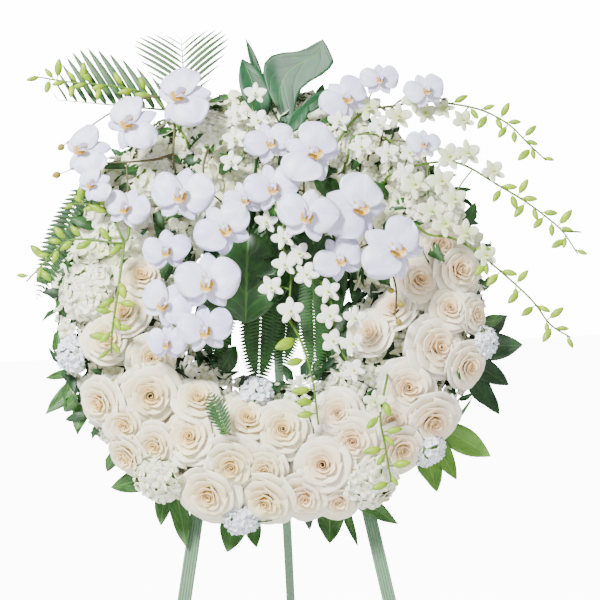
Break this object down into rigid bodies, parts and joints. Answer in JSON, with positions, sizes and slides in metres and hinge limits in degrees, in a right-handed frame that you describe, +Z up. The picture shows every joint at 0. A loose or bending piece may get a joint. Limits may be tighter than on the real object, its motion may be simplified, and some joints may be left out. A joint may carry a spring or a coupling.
{
  "type": "funeral wreath on easel",
  "caption": "Round funeral wreath of white roses, orchids and leaves on a foam ring, wired to a folding three-legged wooden easel.",
  "frame": {"origin": "on the floor, under the middle of the whole object's box", "axes": "+Z up; the wreath's face looks towards -Y; +X to the right as one faces the wreath"},
  "size_m": [0.8795, 0.817, 1.459],
  "materials": {
    "painted_wood": "pale green matt paint over reeded wood",
    "steel": "plain wire and hardware",
    "tray_plastic": "moulded off-white",
    "floral_foam": "wet green floral foam, crumbly",
    "rose_petal": "fresh cream petal, velvety",
    "moth_orchid_petal": "fresh cool white petal, waxy",
    "dendrobium_petal": "fresh creamy petal with a green throat",
    "orchid_bud": "yellow-green buds on green stems",
    "white_floret": "fresh white florets",
    "leaf": "fresh green leaf, slightly glossy"
  },
  "bodies": {
    "wreath_and_easel": {"base_tray": "tray_plastic", "centre_leaf": "leaf", "cross_rail": "painted_wood", "dendrobium_centre": "dendrobium_petal", "dendrobium_left_low": "orchid_bud", "dendrobium_left_top": "orchid_bud", "dendrobium_right_hanging": "orchid_bud", "dendrobium_right_low": "orchid_bud", "dendrobium_right_mid": "orchid_bud", "dendrobium_right_top": "orchid_bud", "dendrobium_top_left": "dendrobium_petal", "dendrobium_top_right": "dendrobium_petal", "fern_left": "leaf", "fern_tip": "leaf", "ferns_centre": "leaf", "foam_ring": "floral_foam", "front_leg_left": "painted_wood", "front_leg_right": "painted_wood", "hanging_screw": "steel", "head_block": "painted_wood", "hinge_fork": "steel", "hinge_pin": "steel", "hydrangea_bottom_right": "white_floret", "hydrangea_left": "white_floret", "hydrangea_left_high": "white_floret", "hydrangea_left_low": "white_floret", "hydrangea_right_high": "white_floret", "hydrangea_top_left": "white_floret", "hydrangea_top_right": "white_floret", "moth_orchids_centre": "moth_orchid_petal", "moth_orchids_centre_left": "moth_orchid_petal", "moth_orchids_left": "moth_orchid_petal", "moth_orchids_left_low": "moth_orchid_petal", "moth_orchids_right": "moth_orchid_petal", "moth_orchids_top_right": "moth_orchid_petal", "palm_fronds": "leaf", "rim_leaves_bottom": "leaf", "rim_leaves_bottom_left": "leaf", "rim_leaves_bottom_right": "leaf", "rim_leaves_left": "leaf", "rim_leaves_low_right": "leaf", "rim_leaves_right": "leaf", "roses_bottom_inner": "rose_petal", "roses_bottom_left": "rose_petal", "roses_bottom_right": "rose_petal", "roses_left_high": "rose_petal", "roses_left_low": "rose_petal", "roses_left_mid": "rose_petal", "roses_right_high": "rose_petal", "roses_right_low": "rose_petal", "roses_right_mid": "rose_petal", "stock_bottom": "white_floret", "stock_inner": "white_floret", "stock_left": "white_floret", "stock_right": "white_floret", "stock_right_low": "white_floret", "top_leaf": "leaf", "wire_tie_left": "steel", "wire_tie_right": "steel"},
    "rear_leg": {"rear_leg": "painted_wood"}
  },
  "joints": [
    {"name": "rear_leg_fold", "type": "hinge", "parent": "wreath_and_easel", "child": "rear_leg", "pos_m": [-0.0517, -0.07609, 1.30517], "axis": [-1, 0, 0], "range_deg": [0, 30]}
  ]
}
